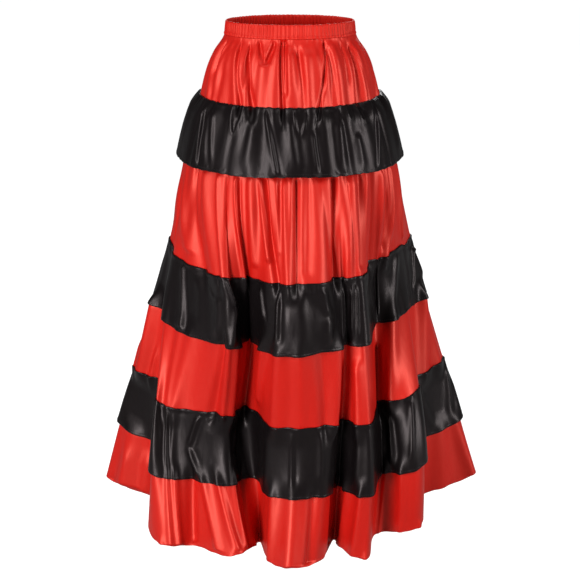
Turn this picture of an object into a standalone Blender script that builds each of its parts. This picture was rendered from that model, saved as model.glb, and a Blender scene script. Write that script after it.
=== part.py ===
"""Flamenco skirt: a flared red satin skirt on an elastic waist, with three gathered black satin flounces.

Metres, +Z up, -Y is the front. The origin is the middle of the waist, halfway up the waistband.
Positions on the cloth are given as the distance down it from the waist edge, so a seam keeps its
distance from the waist on every fold, as it does when it is sewn.
"""

import math
from collections import namedtuple

import bmesh
import bpy
import numpy as np

MM = 0.001

# Driving sizes
LENGTH = 1.000
BAND_DEPTH = 0.025
BAND_WALL = 0.0030
BAND_EDGE_WALL = 0.0018
BAND_GATHERS = 52
BAND_GATHER_DEPTH = 0.0006
CLOTH = 0.0012
SEAM_GAP = 0.0003
STEPS_PER_FOLD = 4
DROP_STEP = 0.005
STEEPEST_LEAN = 0.25

# The skirt above the folds: an ellipse whose front and back halves have their own depth, in mm.
Section = namedtuple("Section", "down half_width back_shift front back")
SECTIONS = (
    Section(0.000, 114, 0, 88, 88),
    Section(0.025, 118, 0, 93, 93),
    Section(0.055, 134, 3, 109, 106),
    Section(0.145, 164, 14, 143, 136),
    Section(0.270, 194, 32, 193, 176),
)

# The folds, at three places down the cloth, from the left side round the front to the right, in mm.
# Gather is how strongly the gather at this line stands out below the waistband.
MID, LOW = 0.515, 0.800
Fold = namedtuple("Fold", "name gather mid_x mid_y low_x low_y hem_x hem_y")
FRONT_FOLDS = (
    Fold("left side crest", 0.9, -249, 76, -331, 94, -386, 97),
    Fold("left side valley", 1.1, -227, 8, -258, 20, -250, 24),
    Fold("left front edge", 0.7, -226, -33, -260, -107, -278, -98),
    Fold("left front panel", 1.2, -195, -71, -242, -106, -241, -160),
    Fold("left front dip", 0.8, -146, -128, -192, -113, -188, -152),
    Fold("second crest", 1.3, -103, -167, -116, -136, -107, -228),
    Fold("second edge", 0.9, -81, -138, -101, -108, -76, -189),
    Fold("left recess", 1.1, -66, -139, -63, -107, -59, -126),
    Fold("centre left edge", 1.3, -40, -182, -42, -162, -43, -190),
    Fold("centre crest", 0.8, 3, -212, 17, -192, 2, -242),
    Fold("centre right edge", 1.0, 67, -189, 76, -175, 62, -189),
    Fold("right recess", 1.2, 93, -147, 94, -139, 86, -117),
    Fold("third left edge", 0.9, 112, -147, 123, -165, 110, -166),
    Fold("third crest", 1.3, 133, -143, 149, -177, 145, -190),
    Fold("third recess", 1.0, 152, -50, 174, -100, 168, -113),
    Fold("fourth crest", 0.7, 183, -29, 226, -124, 240, -126),
    Fold("fourth edge", 1.1, 207, 1, 250, -106, 260, -106),
    Fold("right side valley", 0.9, 227, 40, 243, 22, 249, 34),
    Fold("right side crest", 1.0, 250, 94, 332, 117, 387, 107),
)

# The back, from the right side round to the left: the angle from the right side in degrees,
# and how far a line lies out from the back's outline, as a share of the fold depth.
BackFold = namedtuple("BackFold", "gather angle out")
BACK_FOLDS = (
    BackFold(1.1, 15, -0.90),
    BackFold(0.8, 30, 0.10),
    BackFold(1.2, 42, -1.10),
    BackFold(0.9, 55, 0.00),
    BackFold(1.0, 66, -0.80),
    BackFold(1.3, 79, 0.15),
    BackFold(0.8, 91, -1.15),
    BackFold(1.0, 103, 0.00),
    BackFold(1.2, 115, -0.85),
    BackFold(0.7, 127, 0.10),
    BackFold(1.1, 139, -1.05),
    BackFold(0.9, 151, 0.00),
    BackFold(1.2, 165, -0.95),
)
BackRing = namedtuple("BackRing", "half_width back_shift back fold_depth")
BACK_RINGS = (
    BackRing(255, 66, 238, 0.075),
    BackRing(332, 92, 306, 0.15),
    BackRing(388, 108, 350, 0.18),
)

# How deep the gathers under the waistband are, and where they have run out, in mm.
Gather = namedtuple("Gather", "down depth")
GATHERS = (
    Gather(0.025, 0.0),
    Gather(0.055, 2.2),
    Gather(0.145, 3.4),
    Gather(0.270, 4.2),
    Gather(0.450, 1.5),
    Gather(0.580, 0.0),
    Gather(1.000, 0.0),
)

# The flounces: the sewn top edge and the free lower edge down the cloth, how far the free edge
# stands off the skirt, how much of that it has just below the seam, and its own waves, in mm.
Flounce = namedtuple("Flounce", "name top bottom stand puff wave")
FLOUNCES = (
    Flounce("flounce_1", 0.145, 0.265, 18.0, 0.36, 1.6),
    Flounce("flounce_2", 0.450, 0.580, 3.6, 0.35, 1.0),
    Flounce("flounce_3", 0.730, 0.870, 3.6, 0.35, 1.0),
)
PUFF_AT = 0.015

# Where the walls have a row of points, down the cloth.
BODY_ROWS = (0.055, 0.095, 0.145, 0.160, 0.210, 0.265, 0.355, 0.450, 0.515, 0.580)
BODY_ROWS += (0.655, 0.730, 0.800, 0.870, 0.935)

RED = ("red satin", (0.78, 0.035, 0.022), 0.34)
BLACK = ("black satin", (0.012, 0.010, 0.012), 0.36)
CASING = ("red satin casing", (0.70, 0.028, 0.018), 0.42)


def clear_scene():
    """Removes every object of the startup scene."""
    for obj in list(bpy.data.objects):
        bpy.data.objects.remove(obj, do_unlink=True)


def satin(name, colour, roughness):
    """A plain cloth material."""
    material = bpy.data.materials.new(name)
    material.use_nodes = True
    shader = material.node_tree.nodes["Principled BSDF"]
    shader.inputs["Base Color"].default_value = (*colour, 1.0)
    shader.inputs["Roughness"].default_value = roughness
    shader.inputs["Metallic"].default_value = 0.0
    return material


def bends(knots, values, period):
    """Second derivatives of the cubic spline through the values: closed if it has a period."""
    count = len(knots)
    ahead = np.diff(np.append(knots, knots[0] + (period or 0.0)))
    matrix = np.zeros((count, count))
    right = np.zeros(values.shape)
    for i in range(count):
        if not period and i in (0, count - 1):
            matrix[i, i] = 1.0
            continue
        before, after = ahead[i - 1], ahead[i]
        following = (i + 1) % count
        matrix[i, i - 1] += before
        matrix[i, i] += 2.0 * (before + after)
        matrix[i, following] += after
        rise = (values[following] - values[i]) / after
        right[i] = 6.0 * (rise - (values[i] - values[i - 1]) / before)
    return np.linalg.solve(matrix, right.reshape(count, -1)).reshape(values.shape)


def spline(knots, values, at, period=None):
    """The cubic spline through values at knots, taken at each place in at."""
    knots, values = np.asarray(knots, float), np.asarray(values, float)
    at = np.asarray(at, float)
    bend = bends(knots, values, period)
    last = len(knots) - (1 if period else 2)
    first = np.clip(np.searchsorted(knots, at, side="right") - 1, 0, last)
    second = (first + 1) % len(knots)
    span = np.diff(np.append(knots, knots[0] + (period or 0.0)))[first]
    shape = (-1,) + (1,) * (values.ndim - 1)
    b = ((at - knots[first]) / span).reshape(shape)
    a = 1.0 - b
    curve = ((a**3 - a) * bend[first] + (b**3 - b) * bend[second]) * span.reshape(shape) ** 2 / 6.0
    return a * values[first] + b * values[second] + curve


def back_lines():
    """The back's fold lines, as rows of the same kind as the front's."""
    lines = []
    for fold in BACK_FOLDS:
        angle = math.radians(fold.angle)
        places = []
        for ring in BACK_RINGS:
            reach = 1.0 + ring.fold_depth * fold.out
            places.append(ring.half_width * math.cos(angle) * reach)
            places.append(ring.back_shift + (ring.back - ring.back_shift) * math.sin(angle) * reach)
        lines.append(Fold("back", fold.gather, *places))
    return lines


def fold_lines():
    """All fold lines in order round the skirt, from the middle of the back by the left side."""
    back = back_lines()
    middle = len(back) // 2
    return back[middle:] + list(FRONT_FOLDS) + back[:middle]


LINES = fold_lines()
LEFT_SIDE = [line.name for line in LINES].index("left side crest")
RIGHT_SIDE = [line.name for line in LINES].index("right side crest")


def line_places():
    """Where each fold line is round the skirt, from 0 to 1, by its share of the folded cloth."""
    width = np.full(len(LINES), 0.030)
    for x, y in (("low_x", "low_y"), ("hem_x", "hem_y")):
        points = np.array([(getattr(line, x), getattr(line, y)) for line in LINES]) * MM
        width += np.linalg.norm(np.roll(points, -1, axis=0) - points, axis=1)
    return np.concatenate([[0.0], np.cumsum(width)[:-1]]) / width.sum()


PLACES = line_places()


def plan_of_lines(downs):
    """The fold lines' X and Y at each distance down the cloth."""
    angles = math.pi / 2 + 2.0 * math.pi * PLACES
    levels = []
    for section in SECTIONS:
        depth = np.where(np.sin(angles) > 0.0, section.back, section.front)
        x = section.half_width * np.cos(angles)
        y = section.back_shift + depth * np.sin(angles)
        levels.append(np.stack([x, y], axis=1) * MM)
    for x, y in (("mid_x", "mid_y"), ("low_x", "low_y"), ("hem_x", "hem_y")):
        levels.append(np.array([(getattr(line, x), getattr(line, y)) for line in LINES]) * MM)
    knots = [section.down for section in SECTIONS] + [MID, LOW, LENGTH]
    return spline(knots, np.array(levels), downs)


def gather_wave(places):
    """The gathers' wave at each place: 1 or so on a fold line, -1 halfway to the next."""
    knots = np.append(PLACES, 1.0)
    turns = np.interp(places, knots, np.arange(len(knots)))
    strength = [line.gather for line in LINES]
    return np.cos(2.0 * math.pi * turns) * np.interp(places, knots, strength + strength[:1])


def plain_surface(places):
    """Points of the skirt without its gathers, a ring for each DROP_STEP down the cloth."""
    downs = np.arange(0.0, LENGTH + DROP_STEP / 2, DROP_STEP)
    plans = np.array([spline(PLACES, ring, places, period=1.0) for ring in plan_of_lines(downs)])
    runs = np.linalg.norm(np.diff(plans, axis=0), axis=2)
    least = (STEEPEST_LEAN * DROP_STEP) ** 2
    drops = np.sqrt(np.maximum(DROP_STEP**2 - runs**2, least))
    heights = np.vstack([np.zeros(len(places)), -np.cumsum(drops, axis=0)]) + BAND_DEPTH / 2
    return downs, np.concatenate([plans, heights[..., None]], axis=2)


def outward(surface, downs):
    """Unit normals of a closed surface of rings, pointing out of the skirt."""
    around = np.roll(surface, -1, axis=1) - np.roll(surface, 1, axis=1)
    along = np.gradient(surface, downs, axis=0)
    normals = np.cross(along, around)
    return normals / np.linalg.norm(normals, axis=2, keepdims=True)


def pick_rows(grid, downs, wanted):
    """The rings of a grid at the wanted distances down the cloth."""
    at = np.interp(wanted, downs, np.arange(len(downs)))
    low = np.minimum(at.astype(int), len(downs) - 2)
    share = (at - low)[:, None, None]
    return grid[low] * (1.0 - share) + grid[low + 1] * share


def column_places():
    """The places of the walls' points round the skirt: STEPS_PER_FOLD from each line to the next."""
    knots = np.append(PLACES, 1.0)
    return np.interp(np.arange(len(PLACES) * STEPS_PER_FOLD) / STEPS_PER_FOLD, np.arange(len(knots)), knots)


class Cloth:
    """The skirt's middle surface, with its gathers, and its outward directions."""

    def __init__(self, places, gathered=True):
        self.places = places
        self.downs, self.plain = plain_surface(places)
        self.ways = outward(self.plain, self.downs)
        self.wave = gather_wave(places) if gathered else np.zeros(len(places))

    def rows(self, wanted, moved=0.0, laid=0.0):
        """Points at the wanted distances down the cloth, moved out from the gathered surface.

        What is moved goes straight out of the skirt; what is laid goes out square to the gathers.
        """
        wanted = np.asarray(wanted)
        depth = np.interp(wanted, [g.down for g in GATHERS], [g.depth * MM for g in GATHERS])
        offset = depth[:, None] * self.wave + moved
        ways = pick_rows(self.ways, self.downs, wanted)
        points = pick_rows(self.plain, self.downs, wanted) + ways * offset[..., None]
        return points + outward(points, wanted) * laid


def grid_faces(rows, columns, first, closed, flipped):
    """Triangles of a grid of points, all split along the same diagonal."""
    faces = []
    for row in range(rows - 1):
        for column in range(columns if closed else columns - 1):
            following = (column + 1) % columns
            a = first + row * columns + column
            b = first + row * columns + following
            c = first + (row + 1) * columns + following
            d = first + (row + 1) * columns + column
            corners = ((a, d, c), (a, c, b))
            faces += [corner[::-1] if flipped else corner for corner in corners]
    return faces


def rim_of(rows, columns):
    """The point numbers round the edge of an open grid."""
    top = list(range(columns))
    right = [row * columns + columns - 1 for row in range(1, rows)]
    bottom = [(rows - 1) * columns + column for column in range(columns - 2, -1, -1)]
    left = [row * columns for row in range(rows - 2, 0, -1)]
    return top + right + bottom + left


def wall_solid(name, outer, inner, closed, material):
    """One closed body between two grids of points, an open panel or a ring."""
    rows, columns = outer.shape[:2]
    half = rows * columns
    points = np.concatenate([outer.reshape(-1, 3), inner.reshape(-1, 3)])
    faces = grid_faces(rows, columns, 0, closed, False)
    faces += grid_faces(rows, columns, half, closed, True)
    if closed:
        rims = [list(range(columns)), list(range((rows - 1) * columns, rows * columns))]
    else:
        rims = [rim_of(rows, columns)]
    for rim in rims:
        for a, b in zip(rim, rim[1:] + rim[:1]):
            faces += [(a, b, b + half), (a, b + half, a + half)]
    mesh = bpy.data.meshes.new(name)
    mesh.from_pydata([tuple(point) for point in points], [], faces)
    shaped = bmesh.new()
    shaped.from_mesh(mesh)
    bmesh.ops.recalc_face_normals(shaped, faces=shaped.faces)
    shaped.to_mesh(mesh)
    shaped.free()
    mesh.polygons.foreach_set("use_smooth", [True] * len(mesh.polygons))
    mesh.materials.append(material)
    obj = bpy.data.objects.new(name, mesh)
    bpy.context.scene.collection.objects.link(obj)
    return obj


def half_columns(front):
    """The column numbers of the front or back half, from seam to seam."""
    left, right = LEFT_SIDE * STEPS_PER_FOLD, RIGHT_SIDE * STEPS_PER_FOLD
    if front:
        return np.arange(left, right + 1)
    return np.arange(right, len(PLACES) * STEPS_PER_FOLD + left + 1) % (len(PLACES) * STEPS_PER_FOLD)


def open_seams(panel):
    """Draws the first and last columns of a panel in by half the seam gap."""
    opened = panel.copy()
    for edge, inside in ((0, 1), (-1, -2)):
        step = panel[:, inside] - panel[:, edge]
        step /= np.linalg.norm(step, axis=1, keepdims=True)
        opened[:, edge] += step * SEAM_GAP / 2
    return opened


def panel_pair(name, middle, downs, material):
    """The front and back panels of a ring of cloth, each a wall of its own."""
    normals = outward(middle, np.asarray(downs))
    for half in ("front", "back"):
        columns = half_columns(half == "front")
        points, ways = middle[:, columns], normals[:, columns]
        outer = open_seams(points + ways * CLOTH / 2)
        inner = open_seams(points - ways * CLOTH / 2)
        wall_solid(f"{name}_{half}", outer, inner, False, material)


def make_body(cloth, material):
    """The red skirt: a front and a back panel, sewn at the sides, from the waistband to the hem."""
    downs = (BAND_DEPTH + SEAM_GAP,) + BODY_ROWS + (LENGTH,)
    panel_pair("skirt", cloth.rows(downs), downs, material)


def stand_of(flounce, down):
    """How far a flounce stands off the skirt that it is sewn to, at a distance down the cloth."""
    places = (flounce.top, flounce.top + PUFF_AT, flounce.bottom)
    return np.interp(down, places, (0.0, flounce.stand * flounce.puff * MM, flounce.stand * MM))


def make_flounce(flounce, cloth, material):
    """One flounce: a front and a back panel made from the skirt's points, moved out."""
    downs = np.array([down for down in BODY_ROWS if flounce.top <= down <= flounce.bottom])
    share = (downs - flounce.top) / (flounce.bottom - flounce.top)
    wave = np.outer(share * flounce.wave * MM, cloth.wave)
    stand = stand_of(flounce, downs)[:, None]
    middle = cloth.rows(downs, moved=stand + wave, laid=CLOTH + SEAM_GAP)
    panel_pair(flounce.name, middle, downs, material)


def make_waistband(material):
    """The elastic casing: a gathered ring, thickest halfway up, with its waves on both faces."""
    columns = np.arange(BAND_GATHERS * STEPS_PER_FOLD) / (BAND_GATHERS * STEPS_PER_FOLD)
    cloth = Cloth(columns, gathered=False)
    downs = (0.0, BAND_DEPTH / 2, BAND_DEPTH - SEAM_GAP / 2)
    points = cloth.rows(downs)
    wall = np.array([BAND_EDGE_WALL, BAND_WALL, BAND_EDGE_WALL])[:, None]
    wave = BAND_GATHER_DEPTH * np.cos(2.0 * math.pi * BAND_GATHERS * columns)[None, :]
    flat = outward(points, np.array(downs)) * np.array([1.0, 1.0, 0.0])
    flat /= np.linalg.norm(flat, axis=2, keepdims=True)
    outer = points + flat * (wave + wall / 2)[..., None]
    inner = points + flat * (wave - wall / 2)[..., None]
    wall_solid("waistband", outer, inner, True, material)


def main():
    """Builds the whole skirt."""
    clear_scene()
    red, black, casing = satin(*RED), satin(*BLACK), satin(*CASING)
    cloth = Cloth(column_places())
    make_waistband(casing)
    make_body(cloth, red)
    for flounce in FLOUNCES:
        make_flounce(flounce, cloth, black)


main()
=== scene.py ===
"""Flamenco skirt: the cloth, the sewing and the studio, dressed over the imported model.

Metres, +Z up, -Y is the front. A point of the cloth is given by its place round the skirt, from 0 at the
middle of the back by the left side to 1, and by its distance down the cloth from the waist edge, in mm.
"""

import logging
import math
from dataclasses import dataclass, field, replace
from enum import Enum
from typing import Any, Optional, Sequence

import bpy
import numpy as np
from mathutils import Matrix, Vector


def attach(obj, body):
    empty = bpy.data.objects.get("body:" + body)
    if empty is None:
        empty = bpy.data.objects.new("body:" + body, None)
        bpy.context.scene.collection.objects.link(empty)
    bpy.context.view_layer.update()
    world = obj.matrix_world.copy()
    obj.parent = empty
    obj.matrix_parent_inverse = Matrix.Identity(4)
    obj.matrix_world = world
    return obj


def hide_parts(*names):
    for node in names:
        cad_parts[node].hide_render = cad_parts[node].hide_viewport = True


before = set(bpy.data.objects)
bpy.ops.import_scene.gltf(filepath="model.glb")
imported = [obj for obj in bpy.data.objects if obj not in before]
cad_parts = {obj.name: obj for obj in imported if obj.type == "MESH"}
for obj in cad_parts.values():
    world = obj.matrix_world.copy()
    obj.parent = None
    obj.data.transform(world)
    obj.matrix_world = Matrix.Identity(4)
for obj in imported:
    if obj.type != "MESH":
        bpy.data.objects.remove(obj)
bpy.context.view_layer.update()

LOG = logging.getLogger("flamenco_skirt")
MM = 0.001
BODY = "root"


class Half(Enum):
    """The two panels that each ring of cloth is sewn from."""

    FRONT = "front"
    BACK = "back"


# ---- how the skirt hangs: the same fold lines as the solids ----


@dataclass(frozen=True)
class Section:
    """The outline above the folds at one distance down: an ellipse with its own front and back depth, mm."""

    down: float
    half_width: float
    back_shift: float
    front: float
    back: float


@dataclass(frozen=True)
class Fold:
    """One fold line: its gather strength, and its X and Y at 515, 800 and 1000 mm down, in mm."""

    name: str
    gather: float
    mid_x: float
    mid_y: float
    low_x: float
    low_y: float
    hem_x: float
    hem_y: float


@dataclass(frozen=True)
class BackFold:
    """A fold line of the back: its angle from the right side in degrees, and how far out it lies."""

    gather: float
    angle: float
    out: float


@dataclass(frozen=True)
class BackRing:
    """The back's outline at one distance down, in mm, and the depth of its folds as a share."""

    half_width: float
    back_shift: float
    back: float
    fold_depth: float


SECTIONS = (
    Section(0, 114, 0, 88, 88),
    Section(25, 118, 0, 93, 93),
    Section(55, 134, 3, 109, 106),
    Section(145, 164, 14, 143, 136),
    Section(270, 194, 32, 193, 176),
)
FOLD_DOWNS = (515.0, 800.0, 1000.0)
FRONT_FOLDS = (
    Fold("left side crest", 0.9, -249, 76, -331, 94, -386, 97),
    Fold("left side valley", 1.1, -227, 8, -258, 20, -250, 24),
    Fold("left front edge", 0.7, -226, -33, -260, -107, -278, -98),
    Fold("left front panel", 1.2, -195, -71, -242, -106, -241, -160),
    Fold("left front dip", 0.8, -146, -128, -192, -113, -188, -152),
    Fold("second crest", 1.3, -103, -167, -116, -136, -107, -228),
    Fold("second edge", 0.9, -81, -138, -101, -108, -76, -189),
    Fold("left recess", 1.1, -66, -139, -63, -107, -59, -126),
    Fold("centre left edge", 1.3, -40, -182, -42, -162, -43, -190),
    Fold("centre crest", 0.8, 3, -212, 17, -192, 2, -242),
    Fold("centre right edge", 1.0, 67, -189, 76, -175, 62, -189),
    Fold("right recess", 1.2, 93, -147, 94, -139, 86, -117),
    Fold("third left edge", 0.9, 112, -147, 123, -165, 110, -166),
    Fold("third crest", 1.3, 133, -143, 149, -177, 145, -190),
    Fold("third recess", 1.0, 152, -50, 174, -100, 168, -113),
    Fold("fourth crest", 0.7, 183, -29, 226, -124, 240, -126),
    Fold("fourth edge", 1.1, 207, 1, 250, -106, 260, -106),
    Fold("right side valley", 0.9, 227, 40, 243, 22, 249, 34),
    Fold("right side crest", 1.0, 250, 94, 332, 117, 387, 107),
)
BACK_FOLDS = (
    BackFold(1.1, 15, -0.90),
    BackFold(0.8, 30, 0.10),
    BackFold(1.2, 42, -1.10),
    BackFold(0.9, 55, 0.00),
    BackFold(1.0, 66, -0.80),
    BackFold(1.3, 79, 0.15),
    BackFold(0.8, 91, -1.15),
    BackFold(1.0, 103, 0.00),
    BackFold(1.2, 115, -0.85),
    BackFold(0.7, 127, 0.10),
    BackFold(1.1, 139, -1.05),
    BackFold(0.9, 151, 0.00),
    BackFold(1.2, 165, -0.95),
)
BACK_RINGS = (BackRing(255, 66, 238, 0.075), BackRing(332, 92, 306, 0.15), BackRing(388, 108, 350, 0.18))
GATHER_DOWNS = (25.0, 55.0, 145.0, 270.0, 450.0, 580.0, 1000.0)
GATHER_DEPTHS = (0.0, 0.8, 1.2, 2.0, 1.2, 0.0, 0.0)


def bends(knots: np.ndarray, values: np.ndarray, period: Optional[float]) -> np.ndarray:
    """Second derivatives of the cubic spline through the values.

    Args:
        knots: Rising positions of the values.
        values: One row of values for each knot.
        period: Length of the closed curve, or None for an open one.

    Returns:
        An array of the same shape as the values.
    """
    count = len(knots)
    ahead = np.diff(np.append(knots, knots[0] + (period or 0.0)))
    matrix = np.zeros((count, count))
    right = np.zeros(values.shape)
    for i in range(count):
        if not period and i in (0, count - 1):
            matrix[i, i] = 1.0
            continue
        before, after = ahead[i - 1], ahead[i]
        following = (i + 1) % count
        matrix[i, i - 1] += before
        matrix[i, i] += 2.0 * (before + after)
        matrix[i, following] += after
        rise = (values[following] - values[i]) / after
        right[i] = 6.0 * (rise - (values[i] - values[i - 1]) / before)
    return np.linalg.solve(matrix, right.reshape(count, -1)).reshape(values.shape)


def spline(knots: Sequence[float], values: Any, at: Any, period: Optional[float] = None) -> np.ndarray:
    """Takes the cubic spline through values at knots.

    Args:
        knots: Rising positions of the values.
        values: One row of values for each knot.
        at: The positions wanted.
        period: Length of the closed curve, or None for an open one.

    Returns:
        One row of values for each position wanted.
    """
    knots, values, at = np.asarray(knots, float), np.asarray(values, float), np.asarray(at, float)
    bend = bends(knots, values, period)
    last = len(knots) - (1 if period else 2)
    first = np.clip(np.searchsorted(knots, at, side="right") - 1, 0, last)
    second = (first + 1) % len(knots)
    span = np.diff(np.append(knots, knots[0] + (period or 0.0)))[first]
    shape = (-1,) + (1,) * (values.ndim - 1)
    b = ((at - knots[first]) / span).reshape(shape)
    a = 1.0 - b
    curve = ((a**3 - a) * bend[first] + (b**3 - b) * bend[second]) * span.reshape(shape) ** 2 / 6.0
    return a * values[first] + b * values[second] + curve


def ramp(share: np.ndarray) -> np.ndarray:
    """Rises smoothly from 0 to 1 as the share does."""
    share = np.clip(share, 0.0, 1.0)
    return share * share * (3.0 - 2.0 * share)


def unit(vectors: np.ndarray) -> np.ndarray:
    """The vectors at length 1."""
    return vectors / np.maximum(np.linalg.norm(vectors, axis=-1, keepdims=True), 1e-12)


class FoldPlan:
    """The fold lines seen from above: where they lie, and how the cloth runs between them."""

    def __init__(self) -> None:
        """Puts the lines in order from the middle of the back, by the left side and the front."""
        back = self._back_lines()
        middle = len(back) // 2
        self.lines = back[middle:] + list(FRONT_FOLDS) + back[:middle]
        self.places = self._line_places()
        names = [line.name for line in self.lines]
        self.left = float(self.places[names.index("left side crest")])
        self.right = float(self.places[names.index("right side crest")])

    @staticmethod
    def _back_lines() -> list[Fold]:
        """The back's fold lines, as rows of the same kind as the front's."""
        lines = []
        for fold in BACK_FOLDS:
            angle = math.radians(fold.angle)
            spots = []
            for ring in BACK_RINGS:
                reach = 1.0 + ring.fold_depth * fold.out
                spots.append(ring.half_width * math.cos(angle) * reach)
                spots.append(ring.back_shift + (ring.back - ring.back_shift) * math.sin(angle) * reach)
            lines.append(Fold("back", fold.gather, *spots))
        return lines

    def _ring(self, x: str, y: str) -> np.ndarray:
        """The lines' X and Y at one of the three levels, in metres."""
        return np.array([(getattr(line, x), getattr(line, y)) for line in self.lines]) * MM

    def _line_places(self) -> np.ndarray:
        """Where each line is round the skirt, by its share of the folded cloth."""
        width = np.full(len(self.lines), 0.030)
        for x, y in (("low_x", "low_y"), ("hem_x", "hem_y")):
            points = self._ring(x, y)
            width += np.linalg.norm(np.roll(points, -1, axis=0) - points, axis=1)
        return np.concatenate([[0.0], np.cumsum(width)[:-1]]) / width.sum()

    def rings(self, downs: np.ndarray) -> np.ndarray:
        """The lines' X and Y at each distance down the cloth.

        Args:
            downs: Distances down the cloth in metres.

        Returns:
            An array of distances by lines by 2.
        """
        angles = math.pi / 2 + 2.0 * math.pi * self.places
        levels = []
        for section in SECTIONS:
            depth = np.where(np.sin(angles) > 0.0, section.back, section.front)
            x = section.half_width * np.cos(angles)
            y = section.back_shift + depth * np.sin(angles)
            levels.append(np.stack([x, y], axis=1) * MM)
        for x, y in (("mid_x", "mid_y"), ("low_x", "low_y"), ("hem_x", "hem_y")):
            levels.append(self._ring(x, y))
        knots = [section.down * MM for section in SECTIONS] + [down * MM for down in FOLD_DOWNS]
        return spline(knots, np.array(levels), downs)

    def wave(self, places: np.ndarray) -> np.ndarray:
        """The soft gathers' wave at each place: about 1 on a fold line, -1 halfway to the next."""
        knots = np.append(self.places, 1.0)
        turns = np.interp(places % 1.0, knots, np.arange(len(knots)))
        strength = [line.gather for line in self.lines]
        return np.cos(2.0 * math.pi * turns) * np.interp(places % 1.0, knots, strength + strength[:1])


PLAN = FoldPlan()


@dataclass
class Drape:
    """The hanging cloth over a strip of places, and what is laid on it at some height off it."""

    places: np.ndarray
    length: float = 1.000
    band_depth: float = 0.025
    drop_step: float = 0.005
    steepest_lean: float = 0.25
    downs: np.ndarray = field(init=False)
    points: np.ndarray = field(init=False)
    ways: np.ndarray = field(init=False)

    def __post_init__(self) -> None:
        """Marches down the cloth, so that each step keeps its length on the surface."""
        downs = np.arange(0.0, self.length + self.drop_step / 2, self.drop_step)
        plans = np.array([spline(PLAN.places, ring, self.places % 1.0, period=1.0) for ring in PLAN.rings(downs)])
        runs = np.linalg.norm(np.diff(plans, axis=0), axis=2)
        least = (self.steepest_lean * self.drop_step) ** 2
        drops = np.sqrt(np.maximum(self.drop_step**2 - runs**2, least))
        heights = np.vstack([np.zeros(len(self.places)), -np.cumsum(drops, axis=0)]) + self.band_depth / 2
        self.downs = downs
        self.points = np.concatenate([plans, heights[..., None]], axis=2)
        self.ways = self.outward(self.points, downs)

    @staticmethod
    def outward(points: np.ndarray, downs: np.ndarray) -> np.ndarray:
        """Unit normals of a grid of points, out of the skirt."""
        along = np.gradient(points, downs, axis=0)
        around = np.gradient(points, axis=1)
        return unit(np.cross(along, around))

    def gathered(self, downs: np.ndarray, stand: np.ndarray, ripple: np.ndarray) -> "LaidCloth":
        """The cloth with its soft gathers, moved straight out of the skirt.

        Args:
            downs: Rising distances down the cloth in metres.
            stand: How far the cloth stands off the skirt, downs by places.
            ripple: How deep its own waves are at each of them.

        Returns:
            The surface, ready for its rows to be laid.
        """
        wave = PLAN.wave(self.places)[None, :]
        depth = np.interp(downs / MM, GATHER_DOWNS, GATHER_DEPTHS) * MM
        offset = (depth + ripple)[:, None] * wave + stand
        base = spline(self.downs, self.points, downs)
        ways = unit(spline(self.downs, self.ways, downs))
        points = base + ways * offset[..., None]
        return LaidCloth(self.places, downs, points, self.outward(points, downs))


@dataclass
class LaidCloth:
    """A surface of cloth that rows of points are laid on."""

    places: np.ndarray
    downs: np.ndarray
    points: np.ndarray
    ways: np.ndarray

    def rows(self, downs: np.ndarray, lifts: np.ndarray) -> tuple[np.ndarray, np.ndarray]:
        """Points at each distance down, lifted square off the surface.

        Args:
            downs: Distances down in metres, one for each row, or one for each point of each row.
            lifts: Heights off the surface in metres, rows by places.

        Returns:
            The points and the unit directions out of the cloth, rows by places by 3.
        """
        level = downs.mean(axis=1) if downs.ndim == 2 else downs
        points = spline(self.downs, self.points, level)
        ways = unit(spline(self.downs, self.ways, level))
        if downs.ndim == 2:
            along = unit(spline(self.downs, np.gradient(self.points, self.downs, axis=0), level))
            points = points + along * (downs - level[:, None])[..., None]
        return points + ways * lifts[..., None], ways

    def girths(self, downs: np.ndarray) -> np.ndarray:
        """Roughly how long the whole ring is at each distance down, in metres."""
        span = self.places[-1] - self.places[0]
        lengths = np.linalg.norm(np.diff(self.points, axis=1), axis=2).sum(axis=1) / span
        return np.interp(downs, self.downs, lengths)


# ---- creases, gathers and small drapes pressed into the cloth ----


@dataclass(frozen=True)
class Crease:
    """A soft ridge, or a trough where the height is negative, from one point of the cloth to another.

    Places are shares of the way round; downs, widths and the height are in mm. The lean puts a shadow
    trough beside the ridge, to the right where it is positive. The fades are the shares of its length
    over which it rises at the top and dies away at the bottom.
    """

    top_place: float
    top_down: float
    low_place: float
    low_down: float
    top_width: float
    low_width: float
    height: float
    lean: float = 0.0
    top_fade: float = 0.2
    low_fade: float = 0.3


@dataclass(frozen=True)
class Swag:
    """A small U-shaped drape: its middle place, the level of its two ends, and its sizes in mm."""

    place: float
    top: float
    half_width: float
    drop: float
    width: float
    height: float


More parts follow.
